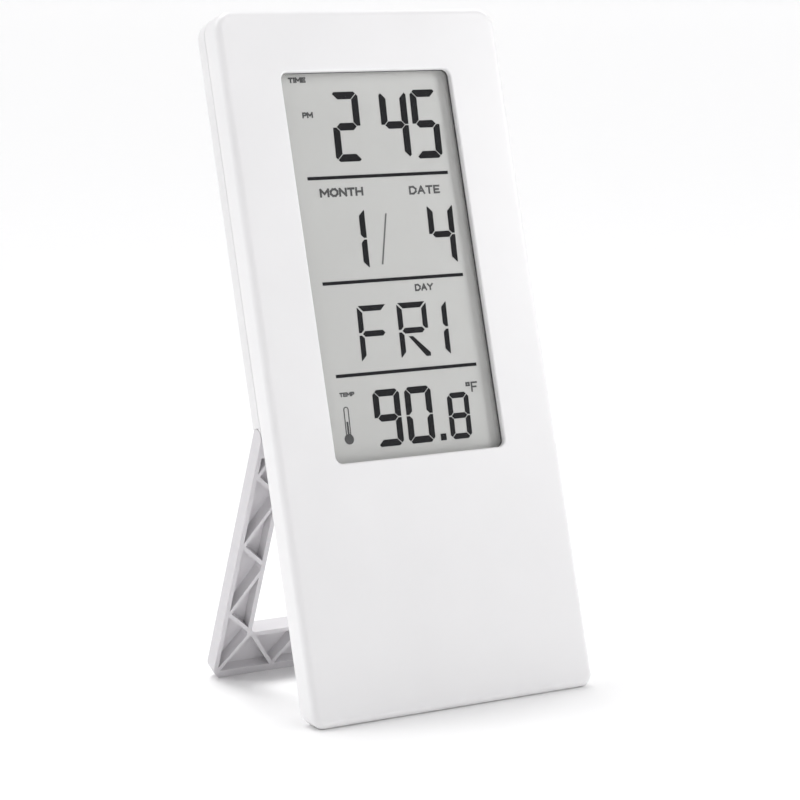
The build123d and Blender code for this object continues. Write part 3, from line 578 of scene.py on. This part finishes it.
def cross_screw(mesh, foot, radius, head, shank, length, steps=32):
    """A pan head with a cross recess and a shank, its seat at foot and its head to the back."""
    def spot(x, y, depth):
        return mesh.verts.new(foot + (across_case * x + up_case * y + into_case * depth) * mm)
    def ring(reach, depth):
        return [spot(reach * cos(t), reach * sin(t), depth) for t in full_turn(steps)]
    tip = ring(shank * 0.3, -length)
    neck = ring(shank, -length + shank)
    seat = ring(shank, 0)
    rim = ring(radius, 0)
    side = ring(radius, head * 0.45)
    dome = ring(radius * 0.9, head * 0.8)
    crown = ring(radius * 0.68, head)
    rings = (tip, neck, seat, rim, side, dome, crown)
    for lower, upper in zip(rings, rings[1:]):
        band(mesh, lower, upper)
    mesh.faces.new(tip)
    arm, half, taper = radius * 0.56, radius * 0.13, 0.7
    outline = [
        (arm, -half), (arm, half), (half, half), (half, arm), (-half, arm), (-half, half),
        (-arm, half), (-arm, -half), (-half, -half), (-half, -arm), (half, -arm), (half, -half),
    ]
    mouth = [spot(x, y, head) for x, y in outline]
    bottom = [spot(x * taper, y * taper, head * 0.25) for x, y in outline]
    edges = [mesh.edges.new((mouth[i], mouth[(i + 1) % len(mouth)])) for i in range(len(mouth))]
    edges += [mesh.edges.get((crown[i], crown[(i + 1) % steps])) for i in range(steps)]
    bmesh.ops.triangle_fill(mesh, use_beauty=True, use_dissolve=False, edges=edges)
    band(mesh, mouth, bottom, smooth=False)
    mesh.faces.new(bottom)


screws = bmesh.new()
screw_points = [vertex.co - case_foot for vertex in nodes["case_screws"].data.vertices]
sides = [point.x / mm for point in screw_points]
climbs = [point.dot(up_case) / mm for point in screw_points]
screw_head, screw_shank, screw_height = 2.1, 1.15, 0.8
low_seat, low_length, high_seat, high_length = 6.1, 3.3, 8.0, 5.2
for across in (max(sides) - screw_head, min(sides) + screw_head):
    for height, seat, length in (
        (min(climbs) + screw_head, low_seat, low_length),
        (max(climbs) - screw_head, high_seat, high_length),
    ):
        cross_screw(screws, on_case(across, height, seat), screw_head, screw_height, screw_shank, length)
bmesh.ops.recalc_face_normals(screws, faces=screws.faces)
cross_screws = piece_of("cross_screws", screws, zinc)
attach(cross_screws, "case")
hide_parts("case_screws")

# Battery door: a plate of the same white, with tongues in the grooves of the bay, ridges for the
# thumb and a raised arrow. It slides up and off.
dress("battery_door", satin_abs)
door_back = max(vertex.co.dot(into_case) for vertex in nodes["battery_door"].data.vertices)
ridge_rise = 0.4
door_face = (door_back - front_depth) / mm - ridge_rise
arrow_low, arrow_high, arrow_half, arrow_line = 39.4, 42.6, 3.4, 1.1
arrow_rise, arrow_root = 0.35, 0.02
door_arrow = [
    (0, arrow_high), (-arrow_half, arrow_low), (-arrow_half, arrow_low - arrow_line),
    (0, arrow_high - arrow_line), (arrow_half, arrow_low - arrow_line), (arrow_half, arrow_low),
]
ink(
    "door_arrow", [door_arrow], satin_abs,
    near=door_face - arrow_root, far=door_face + arrow_rise, body="battery_door",
)

# Buttons: four round caps moulded in light grey ABS. Each comes through its hole in the back from
# inside and rests on its switch.
cap_grey = finish("button_abs", (0.62, 0.62, 0.64), rough=0.42, grain=1100.0, depth=0.00002, mottle=0.02)
for button in ("set_button", "up_button", "down_button", "unit_button"):
    dress(button, cap_grey)

# Stand: a U-shaped leg of white ABS, moulded in one with its ribs and hinge pins. It is snapped
# between the lugs of the rear shell.
# Its colour is a darker, faintly lavender copy of the case's white: painted shade for the case's shadow on
# its inner face.
stand_white_painted_shade = (0.72, 0.705, 0.725)
dress("stand", finish("stand_abs_painted_shade", stand_white_painted_shade, rough=0.42, grain=900.0, depth=0.00002, mottle=0.02))

# Floor and wall: a round cove of pale matt paper, whose floor bends up into a low wall. It isn't
# part of the clock.
cove = bmesh.new()
floor_radius, bend_radius, wall_top, cove_sides, bend_steps = 14.0, 1.5, 3.2, 64, 10
profile = [(floor_radius, 0.0)]
profile += [
    (floor_radius + bend_radius * sin(t), bend_radius * (1 - cos(t)))
    for t in (pi / 2 * i / bend_steps for i in range(1, bend_steps + 1))
]
profile.append((floor_radius + bend_radius, wall_top))
rounds = [
    [cove.verts.new((reach * cos(t), reach * sin(t), z)) for t in full_turn(cove_sides)]
    for reach, z in profile
]
cove.faces.new(rounds[0])
for below, above in zip(rounds, rounds[1:]):
    band(cove, below, above)
studio_paper = finish(
    "studio_paper", (0.96, 0.96, 0.96), rough=0.9, grain=200.0, depth=0.00002, mottle=0.004,
)
paper_cove = piece_of("paper_cove", cove, studio_paper)

# Lamps: three soft boxes round the clock, and three wide far lights above and behind it. They are
# set so that the floor stays white and the clock throws only a faint shadow.
half_way_up = 80
lamp_aim = on_case(0, half_way_up, 0)


def lamp(name, place, size, power):
    """A square soft box that faces the middle of the clock."""
    light = bpy.data.lights.new(name, "AREA")
    light.size = size
    light.energy = power
    box = bpy.data.objects.new(name, light)
    box.location = place
    box.rotation_euler = (lamp_aim - box.location).to_track_quat("-Z", "Y").to_euler()
    bpy.context.scene.collection.objects.link(box)


lamp("key_light", (0.58, -0.48, 0.4), size=0.2, power=1.6)
lamp("front_light", (0.1, -0.35, 0.6), size=0.25, power=0.5)
lamp("side_light", (-0.6, 0.3, 0.5), size=0.25, power=0.42)


def sky_lamp(name, tilt, side, spread, strength):
    """A far, wide light from above, tilted to the back and turned to a side, in degrees."""
    light = bpy.data.lights.new(name, "SUN")
    light.angle = radians(spread)
    light.energy = strength
    tilt, side = radians(tilt), radians(side)
    comes_from = Vector((sin(tilt) * sin(side), sin(tilt) * cos(side), cos(tilt)))
    box = bpy.data.objects.new(name, light)
    box.rotation_euler = (-comes_from).to_track_quat("-Z", "Y").to_euler()
    bpy.context.scene.collection.objects.link(box)


sky_lamp("overhead_light", tilt=24, side=0, spread=34, strength=1.75)
sky_lamp("right_back_light", tilt=50, side=60, spread=30, strength=0.5)
sky_lamp("left_back_light", tilt=50, side=-60, spread=30, strength=0.75)

# Air over the wall: the pale room beyond the paper. It is dim where it lights the clock and white
# where it is looked at, so that the wall's rim doesn't show.
room_glow, seen_glow = 0.25, 0.75
world = bpy.data.worlds.new("studio")
bpy.context.scene.world = world
world.use_nodes = True
air = world.node_tree.nodes["Background"]
air.inputs["Color"].default_value = (0.985, 0.975, 1.0, 1)
seen = node_of(world.node_tree, "ShaderNodeLightPath")
glow = node_of(world.node_tree, "ShaderNodeMath", operation="MULTIPLY_ADD")
glow.inputs[1].default_value = seen_glow
glow.inputs[2].default_value = room_glow
world.node_tree.links.new(seen.outputs["Is Camera Ray"], glow.inputs[0])
world.node_tree.links.new(glow.outputs["Value"], air.inputs["Strength"])
bpy.context.scene.view_settings.view_transform = "Standard"

# Camera: a long lens, 62 cm from the clock's front left and a little above it. It looks down by a
# few degrees.
turn, dip, distance = radians(30.35), radians(9.49), 0.61807
aim = Vector((-0.01712, -0.03105, 0.07808))
sight = Vector((sin(turn) * cos(dip), cos(turn) * cos(dip), -sin(dip)))
camera_data = bpy.data.cameras.new("photo_camera")
camera_data.lens = 117.79
camera_data.sensor_width = 36.0
camera = bpy.data.objects.new("photo_camera", camera_data)
camera.location = aim - sight * distance
camera.rotation_euler = sight.to_track_quat("-Z", "Y").to_euler()
bpy.context.scene.collection.objects.link(camera)
bpy.context.scene.camera = camera
